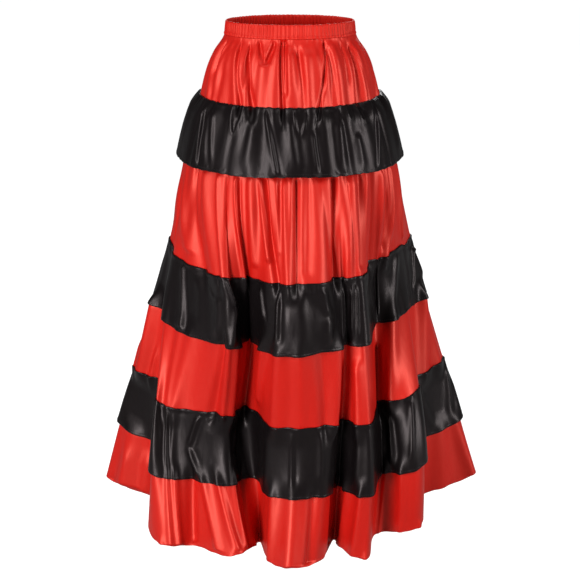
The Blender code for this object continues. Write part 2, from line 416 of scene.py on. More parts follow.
# From the waistband to the first flounce.
YOKE_CREASES = (
    Crease(0.294, 27, 0.325, 138, 5.7, 12.1, 3.4, 0.4, 0.2, 0.3),
    Crease(0.312, 27, 0.331, 110, 3.2, 6.6, -4.9, 0, 0.2, 0.3),
    Crease(0.327, 27, 0.337, 136, 5.0, 10.3, 3.7, 0.5, 0.2, 0.3),
    Crease(0.351, 27, 0.354, 95, 5.0, 12.1, 3.0, 0, 0.2, 0.3),
    Crease(0.369, 27, 0.403, 140, 5.0, 15.5, 4.1, 0, 0.2, 0.3),
    Crease(0.376, 27, 0.411, 140, 2.8, 5.5, -5.4, 0, 0.2, 0.3),
    Crease(0.381, 27, 0.419, 140, 5.0, 12.1, 3.4, 0, 0.2, 0.3),
    Crease(0.402, 27, 0.433, 140, 2.8, 6.6, -7.1, 0, 0.2, 0.3),
    Crease(0.425, 27, 0.449, 74, 3.2, 4.4, -6.7, 0, 0.1, 0.2),
    Crease(0.464, 27, 0.451, 74, 3.2, 4.4, -6.7, 0, 0.1, 0.2),
    Crease(0.448, 60, 0.462, 140, 9.9, 17.2, 3.0, 0, 0.2, 0.3),
    Crease(0.480, 25, 0.4875, 150, 2.4, 3.8, -7.9, 0, 0.02, 0.05),
    Crease(0.489, 25, 0.4925, 132, 2.4, 3.8, -6.7, 0, 0.02, 0.2),
    Crease(0.497, 34, 0.504, 128, 6.6, 12.1, 3.7, 0.4, 0.2, 0.3),
    Crease(0.517, 30, 0.524, 142, 4.4, 9.8, -6.7, 0, 0.2, 0.3),
    Crease(0.541, 36, 0.530, 142, 9.9, 19.0, 3.7, 0, 0.2, 0.3),
    Crease(0.584, 26, 0.551, 142, 2.2, 4.4, -7.1, 0, 0.05, 0.2),
    Crease(0.578, 40, 0.562, 130, 6.6, 10.3, 3.0, 0, 0.2, 0.3),
    Crease(0.586, 30, 0.577, 140, 4.4, 7.6, -5.4, 0, 0.2, 0.3),
    Crease(0.603, 27, 0.591, 142, 8.2, 17.2, 3.7, 0, 0.2, 0.3),
    Crease(0.628, 27, 0.612, 120, 3.2, 6.6, -3.6, 0, 0.2, 0.3),
    Crease(0.655, 27, 0.634, 138, 4.4, 8.7, -5.9, 0, 0.2, 0.3),
    Crease(0.669, 34, 0.655, 140, 5.0, 8.6, 3.4, -0.4, 0.2, 0.3),
    Crease(0.700, 27, 0.684, 120, 5.0, 10.3, 2.6, 0, 0.2, 0.3),
    Crease(0.760, 36, 0.712, 138, 4.4, 7.6, -4.5, 0, 0.2, 0.3),
)
# From the first flounce to the second.
MIDDLE_CREASES = (
    Crease(0.250, 258, 0.300, 440, 9.2, 13.8, 4.4, 0, 0.12, 0.06),
    Crease(0.291, 258, 0.341, 430, 8.0, 12.6, 5.5, 0, 0.12, 0.06),
    Crease(0.329, 258, 0.356, 445, 6.5, 8.4, -7.5, 0, 0.06, 0.06),
    Crease(0.3575, 258, 0.375, 446, 9.2, 14.9, 6.0, 0, 0.12, 0.06),
    Crease(0.3875, 258, 0.3925, 449, 5.8, 9.2, 6.4, 0, 0.12, 0.06),
    Crease(0.403, 258, 0.407, 449, 5.6, 7.5, -6.6, 0, 0.06, 0.06),
    Crease(0.420, 258, 0.4222, 450, 3.4, 5.2, 6.9, 0.8, 0.12, 0.1),
    Crease(0.441, 258, 0.452, 430, 8.0, 10.3, 3.5, 0, 0.12, 0.06),
    Crease(0.454, 258, 0.476, 415, 4.6, 6.9, 6.0, 0, 0.12, 0.06),
    Crease(0.4625, 258, 0.484, 445, 3.7, 5.6, -8.8, 0, 0.06, 0.06),
    Crease(0.4775, 258, 0.4880, 400, 4.6, 6.9, 3.5, 0, 0.12, 0.06),
    Crease(0.4925, 258, 0.4975, 449, 4.0, 5.8, 6.0, 0, 0.12, 0.06),
    Crease(0.501, 258, 0.5005, 449, 4.0, 5.8, 3.9, 0, 0.12, 0.06),
    Crease(0.511, 258, 0.507, 450, 4.2, 5.6, -8.8, 0, 0.06, 0.06),
    Crease(0.5275, 258, 0.5155, 440, 5.6, 6.5, -3.4, 0, 0.06, 0.06),
    Crease(0.546, 258, 0.527, 450, 12.6, 14.9, 6.9, 0, 0.12, 0.06),
    Crease(0.567, 258, 0.549, 449, 4.7, 6.5, -10.1, 0, 0.06, 0.06),
    Crease(0.592, 262, 0.573, 450, 11.5, 12.6, 6.4, 0, 0.12, 0.06),
    Crease(0.612, 258, 0.596, 440, 3.7, 5.6, -5.3, 0, 0.06, 0.06),
    Crease(0.622, 258, 0.606, 446, 4.6, 6.9, 3.9, 0, 0.12, 0.06),
    Crease(0.6375, 258, 0.624, 450, 4.7, 6.5, -8.8, 0, 0.06, 0.06),
    Crease(0.658, 260, 0.639, 446, 6.9, 9.2, 6.0, 0, 0.12, 0.06),
    Crease(0.677, 258, 0.651, 440, 3.7, 5.6, -5.3, 0, 0.06, 0.06),
    Crease(0.697, 262, 0.656, 446, 3.4, 5.8, 5.5, -0.5, 0.12, 0.06),
    Crease(0.735, 262, 0.700, 440, 10.3, 13.8, 4.4, 0, 0.12, 0.06),
)
# From the second flounce to the third.
LOWER_CREASES = (
    Crease(0.2450, 574, 0.2494, 729, 15.3, 20.3, 11.3, 0, 0.2, 0.18),
    Crease(0.2620, 640, 0.2600, 729, 4.2, 6.2, 6.2, 0.4, 0.6, 0.18),
    Crease(0.3440, 574, 0.3425, 729, 7.2, 9.3, 6.2, 0, 0.2, 0.18),
    Crease(0.3540, 574, 0.3500, 729, 9.4, 12.7, 9.0, 0, 0.2, 0.18),
    Crease(0.3860, 574, 0.3825, 725, 9.3, 10.3, -8.2, 0, 0.06, 0.1),
    Crease(0.3960, 574, 0.3935, 729, 7.2, 9.3, 6.9, 0, 0.2, 0.18),
    Crease(0.4056, 574, 0.4037, 729, 8.2, 11.4, 11.3, 0, 0.2, 0.18),
    Crease(0.4363, 580, 0.4313, 729, 6.2, 8.3, -11.5, 0, 0.06, 0.1),
    Crease(0.4675, 574, 0.4510, 715, 7.2, 9.3, 8.7, 0, 0.2, 0.18),
    Crease(0.4875, 574, 0.4825, 729, 10.6, 15.3, 9.0, 0, 0.2, 0.18),
    Crease(0.5050, 574, 0.5006, 729, 8.6, 12.4, 6.2, 0, 0.2, 0.18),
    Crease(0.5225, 574, 0.5238, 729, 11.3, 12.4, -9.3, 0, 0.06, 0.1),
    Crease(0.5388, 574, 0.5319, 729, 8.2, 11.4, 10.3, 0, 0.2, 0.18),
    Crease(0.5800, 600, 0.5794, 729, 9.4, 11.4, 10.3, 0, 0.2, 0.18),
    Crease(0.6338, 620, 0.6262, 729, 7.2, 8.3, -7.8, 0, 0.06, 0.1),
    Crease(0.6538, 590, 0.6425, 729, 9.4, 11.4, 10.3, 0, 0.2, 0.18),
    Crease(0.7481, 580, 0.7394, 725, 10.6, 13.9, 10.3, 0, 0.2, 0.18),
)
# From the third flounce to the hem.
HEM_CREASES = (
    Crease(0.2450, 876, 0.2462, 995, 16.8, 21.1, 7.9, 0, 0.25, 0.03),
    Crease(0.2600, 890, 0.2562, 1000, 7.9, 9.6, 6.6, 0.4, 0.4, 0.05),
    Crease(0.3475, 866, 0.3481, 1000, 5.3, 7.0, 5.2, 0, 0.25, 0.03),
    Crease(0.3544, 866, 0.3550, 1000, 7.8, 9.3, 7.9, 0, 0.25, 0.03),
    Crease(0.3681, 870, 0.3656, 1000, 8.3, 9.3, -9.8, 0, 0.2, 0.1),
    Crease(0.3788, 870, 0.3912, 995, 7.8, 10.5, 7.9, 0, 0.25, 0.03),
    Crease(0.3925, 870, 0.4094, 1000, 7.9, 11.0, 7.3, 0.3, 0.25, 0.1),
    Crease(0.4100, 868, 0.4175, 1000, 5.3, 8.3, 7.3, 0.4, 0.25, 0.1),
    Crease(0.4250, 868, 0.4269, 1000, 5.2, 6.2, -7.0, 0, 0.12, 0.03),
    Crease(0.4800, 868, 0.4769, 1000, 9.0, 11.7, 6.8, 0, 0.25, 0.03),
    Crease(0.4969, 868, 0.4981, 1000, 12.3, 16.4, 7.9, 0, 0.25, 0.03),
    Crease(0.5138, 868, 0.5169, 1000, 9.3, 12.4, -9.0, 0, 0.12, 0.03),
    Crease(0.5388, 868, 0.5431, 1000, 7.2, 8.3, -7.0, 0, 0.12, 0.03),
    Crease(0.5694, 872, 0.5681, 1000, 7.9, 9.6, 6.6, 0, 0.25, 0.03),
    Crease(0.5844, 870, 0.5819, 1000, 9.0, 11.7, 8.8, 0, 0.25, 0.03),
    Crease(0.6325, 880, 0.6281, 1000, 7.9, 11.0, 5.7, 0, 0.25, 0.03),
    Crease(0.6460, 880, 0.6450, 1000, 7.8, 9.3, 7.9, 0, 0.25, 0.03),
    Crease(0.7456, 880, 0.7419, 1000, 13.5, 16.4, 7.9, 0, 0.25, 0.03),
)
# Where the hem turns up a little, at the corners of the folds.
HEM_CURLS = (
    Crease(0.3400, 978, 0.3400, 1000, 5, 7, 4.0, 0.0, 0.9, 0.0),
    Crease(0.4130, 982, 0.4130, 1000, 5, 7, 2.5, 0.0, 0.9, 0.0),
    Crease(0.4310, 980, 0.4310, 1000, 5, 7, 4.0, 0.0, 0.9, 0.0),
    Crease(0.5300, 984, 0.5300, 1000, 6, 8, 2.5, 0.0, 0.9, 0.0),
    Crease(0.5640, 978, 0.5640, 1000, 5, 7, 4.0, 0.0, 0.9, 0.0),
    Crease(0.5920, 980, 0.5920, 1000, 5, 7, 3.5, 0.0, 0.9, 0.0),
    Crease(0.6600, 978, 0.6600, 1000, 5, 7, 4.0, 0.0, 0.9, 0.0),
)
FIRST_CREASES = (
    Crease(0.338, 156, 0.3556, 262, 2.6, 3.4, 2.8, 0.8, 0.1, 0.1),
    Crease(0.352, 158, 0.3740, 262, 3.8, 5.4, 2.0),
    Crease(0.363, 154, 0.3869, 262, 3.8, 5.4, 2.2),
    Crease(0.4431, 158, 0.4363, 262, 7.2, 9.6, 2.8, -0.3),
    Crease(0.4606, 148, 0.4825, 264, 3.1, 4.3, 2.6, 0.6, 0.1, 0.1),
    Crease(0.4975, 158, 0.5094, 262, 6.0, 9.6, 2.4, 0.3),
    Crease(0.5344, 182, 0.5381, 264, 3.1, 4.1, 2.4, 0.6),
    Crease(0.5794, 164, 0.5713, 262, 7.2, 8.4, 2.8, 0.3),
    Crease(0.6069, 192, 0.6069, 262, 7.2, 9.6, 2.4),
    Crease(0.6644, 148, 0.6331, 262, 2.9, 3.6, 2.4, -0.6, 0.1, 0.1),
    Crease(0.7119, 170, 0.7063, 258, 6.0, 9.6, 2.2),
)
FIRST_SWAGS = (
    Swag(0.4120, 148, 12, 46, 3.1, 1.6),
    Swag(0.5160, 152, 12, 40, 3.4, 1.5),
    Swag(0.5480, 150, 7, 18, 2.6, 1.0),
    Swag(0.6020, 148, 9, 22, 2.9, 1.2),
    Swag(0.6260, 148, 8, 26, 2.9, 1.2),
)
SECOND_CREASES = (
    Crease(0.3369, 452, 0.3463, 578, 2.8, 3.8, 4.1, 0.7, 0.1, 0.1),
    Crease(0.3545, 456, 0.3610, 578, 7.5, 10.0, 3.8, 0.2, 0.2, 0.3),
    Crease(0.3800, 485, 0.3794, 578, 7.5, 10.0, 3.8, 0, 0.2, 0.3),
    Crease(0.3994, 452, 0.4062, 502, 3.2, 4.2, 4.1, 0.6, 0.1, 0.2),
    Crease(0.4062, 494, 0.3981, 578, 4.2, 5.0, 4.1, 0.5, 0.2, 0.1),
    Crease(0.4619, 458, 0.4719, 525, 2.5, 3.1, 3.8, 0.6, 0.2, 0.3),
    Crease(0.4881, 456, 0.4863, 565, 3.2, 4.2, 4.1, 0.6, 0.1, 0.2),
    Crease(0.5081, 458, 0.5087, 578, 7.5, 10.0, 3.4, 0.3, 0.2, 0.3),
    Crease(0.5256, 456, 0.5300, 518, 4.5, 6.2, 4.1, 0.4, 0.2, 0.3),
    Crease(0.5300, 508, 0.5244, 578, 6.2, 7.5, 4.1, 0.4, 0.2, 0.3),
    Crease(0.5594, 464, 0.5494, 578, 3.0, 3.8, 3.8, 0.6, 0.2, 0.3),
    Crease(0.5787, 460, 0.5769, 574, 3.2, 4.2, 4.1, 0.3, 0.2, 0.3),
    Crease(0.5850, 460, 0.5819, 574, 3.2, 4.2, 4.1, 0.3, 0.2, 0.3),
    Crease(0.6388, 452, 0.6388, 576, 3.0, 4.0, 3.8, -0.5, 0.2, 0.3),
    Crease(0.6700, 456, 0.6520, 576, 5.0, 7.5, 3.8, 0, 0.2, 0.3),
    Crease(0.7600, 456, 0.7300, 560, 3.8, 5.0, 4.1, -0.5, 0.2, 0.3),
)
SECOND_SWAGS = (
    Swag(0.3735, 450, 16, 42, 3.9, 1.1),
    Swag(0.4970, 450, 8, 24, 3.3, 0.8),
    Swag(0.5180, 450, 7, 20, 3.0, 0.8),
    Swag(0.6560, 452, 9, 30, 3.3, 0.8),
)
THIRD_CREASES = (
    Crease(0.3444, 734, 0.3463, 862, 3.8, 5.0, 4.0, 0.4, 0.2, 0.3),
    Crease(0.3519, 734, 0.3513, 862, 7.5, 10.0, 3.4, 0, 0.2, 0.3),
    Crease(0.3713, 734, 0.3656, 812, 3.8, 5.0, 4.5, 0.5, 0.2, 0.3),
    Crease(0.3656, 802, 0.3750, 866, 5.0, 6.2, 4.0, 0.5, 0.2, 0.3),
    Crease(0.4156, 734, 0.4106, 820, 7.5, 10.0, 4.5, 0, 0.2, 0.3),
    Crease(0.4106, 808, 0.4156, 868, 10.0, 11.2, 4.5, 0, 0.2, 0.3),
    Crease(0.4950, 732, 0.4956, 860, 3.0, 3.8, 3.4, 0.5, 0.2, 0.3),
    Crease(0.5169, 732, 0.5175, 856, 5.0, 7.5, 3.4, 0, 0.2, 0.3),
    Crease(0.5444, 730, 0.5406, 862, 3.8, 5.0, 4.0, 0.6, 0.2, 0.3),
    Crease(0.5800, 734, 0.5800, 864, 7.5, 10.0, 4.0, 0, 0.2, 0.3),
    Crease(0.6381, 750, 0.6394, 868, 5.0, 6.2, 4.0, 0.5, 0.2, 0.3),
    Crease(0.6600, 732, 0.6531, 864, 3.8, 5.0, 4.0, 0, 0.2, 0.3),
    Crease(0.7644, 740, 0.7538, 864, 6.2, 8.8, 4.0, 0, 0.2, 0.3),
)
THIRD_SWAGS = (
    Swag(0.3820, 730, 14, 26, 4.2, 0.8),
    Swag(0.5480, 730, 10, 20, 3.9, 0.7),
)


def turned(creases: Sequence[Crease], dice: np.random.Generator) -> list[Crease]:
    """The front's creases turned over to the back, each a little different.

    Args:
        creases: Creases of the front.
        dice: The seeded source of the differences.

    Returns:
        Creases of the back.
    """
    made = []
    for crease in creases:
        shift = dice.uniform(-0.008, 0.008)
        lean = dice.uniform(-0.010, 0.010)
        low = 0.5 - crease.low_place + shift
        made.append(
            replace(
                crease,
                top_place=low + crease.low_place - crease.top_place + lean,
                low_place=low,
                height=crease.height * dice.uniform(0.75, 1.2),
                lean=-crease.lean,
            )
        )
    return made


def turned_swags(swags: Sequence[Swag], dice: np.random.Generator) -> list[Swag]:
    """The front's small drapes turned over to the back."""
    return [replace(swag, place=(0.5 - swag.place + dice.uniform(-0.01, 0.01)) % 1.0) for swag in swags]


def carried(creases: Sequence[Crease], seams: Sequence[float], reach: float = 45.0) -> list[Crease]:
    """Runs the folds that end at a flounce's edge on under it, where they die away.

    Args:
        creases: Folds of the skirt.
        seams: The distances down of the flounces' edges, in mm.
        reach: How far a fold runs on, in mm.

    Returns:
        The folds at their new lengths; those that end elsewhere are as they were.
    """
    made = []
    for crease in creases:
        length = crease.low_down - crease.top_down
        slope = (crease.low_place - crease.top_place) / length
        below = [seam for seam in seams if abs(crease.low_down - seam) < 9.0]
        over = [seam for seam in seams if abs(crease.top_down - seam) < 13.0]
        low = below[0] + reach if below else crease.low_down
        top = over[0] - reach if over else crease.top_down
        whole = low - top
        made.append(
            replace(
                crease,
                top_down=top,
                top_place=crease.top_place + slope * (top - crease.top_down),
                low_down=low,
                low_place=crease.low_place + slope * (low - crease.low_down),
                top_fade=(reach + 4.0) / whole if over else crease.top_fade * length / whole,
                low_fade=(reach + 4.0) / whole if below else crease.low_fade * length / whole,
            )
        )
    return made


@dataclass(frozen=True)
class GatherRow:
    """Uneven small gathers that start at a seam, or end at it where they rise above it.

    Lengths, widths and heights are in mm, each between a least and a greatest value.
    """

    count: int
    seam: float
    lengths: tuple[float, float]
    widths: tuple[float, float]
    heights: tuple[float, float]
    spread: float = 1.6
    slant: float = 0.004
    above: bool = False

    def creases(self, dice: np.random.Generator) -> list[Crease]:
        """Makes the gathers all round the seam.

        Args:
            dice: The seeded source of their differences.

        Returns:
            One crease for each gather.
        """
        made = []
        for number in range(self.count):
            place = (number + dice.uniform(0.1, 0.9)) / self.count
            length = self.lengths[0] + (self.lengths[1] - self.lengths[0]) * dice.random() ** 2.2
            width = dice.uniform(*self.widths)
            height = dice.uniform(*self.heights)
            away = place + dice.normal(0.0, self.slant) * length / self.lengths[1]
            if self.above:
                made.append(
                    Crease(away, self.seam - length, place, self.seam, width * self.spread, width, height, 0, 0.8, 0.0)
                )
            else:
                made.append(
                    Crease(place, self.seam, away, self.seam + length, width, width * self.spread, height, 0, 0.0, 0.8)
                )
        return made


class Relief:
    """Heights pressed into a piece of cloth, over its rows and places."""

    def __init__(self, places: np.ndarray, downs: np.ndarray, girths: np.ndarray) -> None:
        """Starts flat.

        Args:
            places: The places of the columns.
            downs: The distance down of each row, in metres.
            girths: The length of the whole ring at each row, in metres.
        """
        self.places = places
        self.downs = downs
        self.girths = girths
        self.heights = np.zeros((len(downs), len(places)))

    def _away(self, places: np.ndarray, rows: np.ndarray) -> np.ndarray:
        """How far each point of the rows lies round from a place of its own row, in metres."""
        gap = (self.places[None, :] - places[:, None] + 0.5) % 1.0 - 0.5
        return gap * self.girths[rows][:, None]

    def press(self, crease: Crease) -> None:
        """Presses one crease in."""
        share = (self.downs / MM - crease.top_down) / (crease.low_down - crease.top_down)
        rows = np.nonzero((share > -1e-6) & (share < 1.0 + 1e-6))[0]
        if not len(rows):
            return
        share = share[rows]
        places = crease.top_place + (crease.low_place - crease.top_place) * share
        widths = (crease.top_width + (crease.low_width - crease.top_width) * share)[:, None] * MM
        away = self._away(places, rows) / widths
        profile = np.exp(-(away**2))
        if crease.lean:
            side = away - 1.9 * math.copysign(1.0, crease.lean)
            profile -= 0.7 * abs(crease.lean) * np.exp(-(side**2))
        fade = ramp(share / max(crease.top_fade, 1e-6)) * ramp((1.0 - share) / max(crease.low_fade, 1e-6))
        if crease.top_fade == 0.0:
            fade = ramp((1.0 - share) / crease.low_fade)
        if crease.low_fade == 0.0:
            fade = ramp(share / crease.top_fade)
        self.heights[rows] += crease.height * MM * fade[:, None] * profile

    def hang(self, swag: Swag) -> None:
        """Presses one small drape in."""
        rows = np.nonzero((self.downs / MM > swag.top - 12) & (self.downs / MM < swag.top + swag.drop + 12))[0]
        if not len(rows):
            return
        away = self._away(np.full(len(rows), swag.place), rows) / (swag.half_width * MM)
        inside = np.clip(1.0 - away**2, 0.0, None)
        line = swag.top + swag.drop * inside
        slope = 2.0 * swag.drop * np.abs(away) / swag.half_width
        gap = (self.downs[rows][:, None] / MM - line) / (swag.width * np.sqrt(1.0 + slope**2))
        self.heights[rows] += swag.height * MM * np.exp(-(gap**2)) * ramp(inside * 3.0)

    def press_all(self, creases: Sequence[Crease]) -> None:
        """Presses each crease in."""
        for crease in creases:
            self.press(crease)


# ---- cloth finishes ----


def linear(hex_colour: str) -> tuple[float, float, float, float]:
    """Turns an sRGB hex value to the linear colour that a shader takes.

    Args:
        hex_colour: Six hex digits after a #.

    Returns:
        Red, green, blue and alpha.
    """
    parts = [int(hex_colour[i : i + 2], 16) / 255.0 for i in (1, 3, 5)]
    return (*[part / 12.92 if part <= 0.04045 else ((part + 0.055) / 1.055) ** 2.4 for part in parts], 1.0)


def add_node(tree: bpy.types.NodeTree, kind: str, settings: dict[str, Any], links: dict[str, Any]) -> bpy.types.Node:
    """Adds a node with its settings, values and links.

    Args:
        tree: The node tree.
        kind: The node's type name.
        settings: Values of the node's properties.
        links: For each input, a value, or an output to link to it.

    Returns:
        The new node.
    """
    made = tree.nodes.new(kind)
    for name, value in settings.items():
        setattr(made, name, value)
    for name, value in links.items():
        socket = made.inputs[int(name)] if name.isdigit() else made.inputs[name]
        if isinstance(value, bpy.types.NodeSocket):
            tree.links.new(value, socket)
        else:
            socket.default_value = value
    return made


@dataclass(frozen=True)
class SatinFinish:
    """Polyester satin: long floats on the face give a soft, broad gloss with faint lines of the weft."""

    name: str
    face: str
    deep: str
    roughness: float
    gloss: float
    gloss_tint: str
    anisotropy: float = 0.35
    # The share of the light that the dyed floats send on in their own colour, in one direction like a metal.
    dyed_gloss: float = 0.0
    # A satin weft lies 0.12 mm apart; it is drawn ten times as coarse so that it shows.
    weft_mm: float = 1.2
    slub_mm: float = 38.0
    crinkle_mm: float = 15.0
    crinkle_height_mm: float = 0.60
    # The cloth hangs, so its small wrinkles run mostly up and down.
    crinkle_stretch: float = 3.2
    weft_height_mm: float = 0.05

    def material(self) -> bpy.types.Material:
        """Makes the cloth's material.

        Returns:
            The new material.
        """
        made = bpy.data.materials.new(self.name)
        made.use_nodes = True
        tree = made.node_tree
        tree.nodes.clear()
        out = add_node(tree, "ShaderNodeOutputMaterial", {}, {})
        cloth = add_node(tree, "ShaderNodeUVMap", {"uv_map": "cloth"}, {}).outputs["UV"]
        spots = add_node(tree, "ShaderNodeTexCoord", {}, {}).outputs["Object"]
        lay = add_node(
            tree,
            "ShaderNodeMapping",
            {},
            {"Vector": cloth, "Scale": (1.0 / (self.slub_mm * MM), 1.0 / (self.weft_mm * MM), 1.0)},
        )
        weft = add_node(
            tree, "ShaderNodeTexNoise", {}, {"Vector": lay.outputs[0], "Scale": 1.0, "Detail": 2.0, "Roughness": 0.6}
        ).outputs["Fac"]
        hang = add_node(
            tree, "ShaderNodeMapping", {}, {"Vector": spots, "Scale": (1.0, 1.0, 1.0 / self.crinkle_stretch)}
        ).outputs[0]
        crinkle = add_node(
            tree,
            "ShaderNodeTexNoise",
            {},
            {"Vector": hang, "Scale": 1.0 / (self.crinkle_mm * MM), "Detail": 1.0, "Roughness": 0.4, "Distortion": 0.3},
        ).outputs["Fac"]
        cloud = add_node(tree, "ShaderNodeTexNoise", {}, {"Vector": spots, "Scale": 7.0, "Detail": 1.0}).outputs["Fac"]
        tone = add_node(
            tree, "ShaderNodeMath", {"operation": "MULTIPLY_ADD"}, {"0": weft, "1": 0.5, "2": cloud}
        ).outputs[0]
        depth = add_node(
            tree,
            "ShaderNodeMapRange",
            {},
            {"Value": tone, "From Min": 0.45, "From Max": 1.05, "To Min": 0.35, "To Max": 0.0},
        ).outputs[0]
        colour = add_node(
            tree,
            "ShaderNodeMix",
            {"data_type": "RGBA"},
            {"0": depth, "6": linear(self.face), "7": linear(self.deep)},
        ).outputs[2]
        rough = add_node(
            tree,
            "ShaderNodeMapRange",
            {},
            {"Value": weft, "From Min": 0.3, "From Max": 0.7, "To Min": self.roughness - 0.03, "To Max": self.roughness + 0.04},
        ).outputs[0]
        soft = add_node(
            tree, "ShaderNodeBump", {}, {"Height": crinkle, "Distance": self.crinkle_height_mm * MM, "Strength": 1.0}
        ).outputs[0]
        lines = add_node(
            tree,
            "ShaderNodeBump",
            {},
            {"Height": weft, "Distance": self.weft_height_mm * MM, "Strength": 1.0, "Normal": soft},
        ).outputs[0]
        tangent = add_node(tree, "ShaderNodeTangent", {"direction_type": "UV_MAP", "uv_map": "cloth"}, {}).outputs[0]
        skin = add_node(
            tree,
            "ShaderNodeBsdfPrincipled",
            {},
            {
                "Base Color": colour,
                "Roughness": rough,
                "Metallic": self.dyed_gloss,
                "Specular IOR Level": self.gloss,
                "Anisotropic": self.anisotropy,
                "Specular Tint": linear(self.gloss_tint),
                "Normal": lines,
                "Tangent": tangent,
            },
        )
        tree.links.new(skin.outputs[0], out.inputs["Surface"])
        return made


@dataclass(frozen=True)
class ThreadFinish:
    """Polyester sewing thread: round and tightly twisted, with a small dull gloss."""

    name: str
    colour: str
    shade: str

    def material(self) -> bpy.types.Material:
        """Makes the thread's material.

        Returns:
            The new material.
        """
        made = bpy.data.materials.new(self.name)
        made.use_nodes = True
        tree = made.node_tree
        tree.nodes.clear()
        out = add_node(tree, "ShaderNodeOutputMaterial", {}, {})
        spots = add_node(tree, "ShaderNodeTexCoord", {}, {}).outputs["Object"]
        # The two plies turn round each other every 0.6 mm.
        twist = add_node(tree, "ShaderNodeTexNoise", {}, {"Vector": spots, "Scale": 1.0 / (0.6 * MM)}).outputs["Fac"]
        colour = add_node(
            tree,
            "ShaderNodeMix",
            {"data_type": "RGBA"},
            {"0": twist, "6": linear(self.colour), "7": linear(self.shade)},
        ).outputs[2]
        bump = add_node(tree, "ShaderNodeBump", {}, {"Height": twist, "Distance": 0.06 * MM}).outputs[0]
        skin = add_node(
            tree, "ShaderNodeBsdfPrincipled", {}, {"Base Color": colour, "Roughness": 0.55, "Normal": bump}
        )
        tree.links.new(skin.outputs[0], out.inputs["Surface"])
        return made


RED_SATIN = SatinFinish("red satin", "#C9140D", "#A20904", 0.42, 0.74, "#FFCCB4", 0.45, 0.16)
CASING_SATIN = SatinFinish("gathered red satin", "#C4140D", "#A00904", 0.50, 0.46, "#FFC8AE", 0.35, 0.10)
BLACK_SATIN = SatinFinish("black satin", "#0D090A", "#060404", 0.33, 0.22, "#FFF0F0", 0.40)
RED_THREAD = ThreadFinish("red sewing thread", "#DE3226", "#A8120B")
BLACK_THREAD = ThreadFinish("black sewing thread", "#2A2529", "#100C0F")


# ---- sheets and their sewing ----


@dataclass
class SheetGrid:
    """The finished points of one panel of cloth, row by row, with where each lies on the cut."""

    name: str
    points: np.ndarray
    ways: np.ndarray
    places: np.ndarray
    downs: np.ndarray
    cut_width: float

    def build(self, material: bpy.types.Material, closed: bool = False) -> bpy.types.Object:
        """Makes the mesh, with a UV map in metres of the cut cloth.

        Args:
            material: The cloth's material.
            closed: Whether the rows and the columns both run round into themselves.

        Returns:
            The new object.
        """
        rows, columns = self.points.shape[:2]
        row_count = rows if closed else rows - 1
        column_count = columns if closed else columns - 1
        row, column = np.meshgrid(np.arange(row_count), np.arange(column_count), indexing="ij")
        after, beside = row + 1, column + 1
        a = row * columns + column
        d = (after % rows) * columns + column
        c = (after % rows) * columns + beside % columns
        b = row * columns + beside % columns
        quads = np.stack([a, d, c, b], axis=2).reshape(-1, 4)
        mesh = bpy.data.meshes.new(self.name)
        mesh.from_pydata(self.points.reshape(-1, 3).tolist(), [], quads.tolist())
        downs = self.downs if self.downs.ndim == 2 else np.repeat(self.downs[:, None], columns, axis=1)
        step = self.places[-1] - self.places[-2]
        across = np.append(self.places, self.places[-1] + step) * self.cut_width
        down_lines = np.vstack([downs, downs[:1]])
        down_lines = np.hstack([down_lines, down_lines[:, :1]])
        corners = [(row, column), (after, column), (after, beside), (row, beside)]
        uv = np.stack([np.stack([across[j], -down_lines[i, j]], axis=2) for i, j in corners], axis=2)
        mesh.uv_layers.new(name="cloth").data.foreach_set("uv", uv.reshape(-1).astype(np.float32))
        mesh.polygons.foreach_set("use_smooth", [True] * len(mesh.polygons))
        mesh.materials.append(material)
        mesh.update()
        made = bpy.data.objects.new(self.name, mesh)
        bpy.context.scene.collection.objects.link(made)
        return made


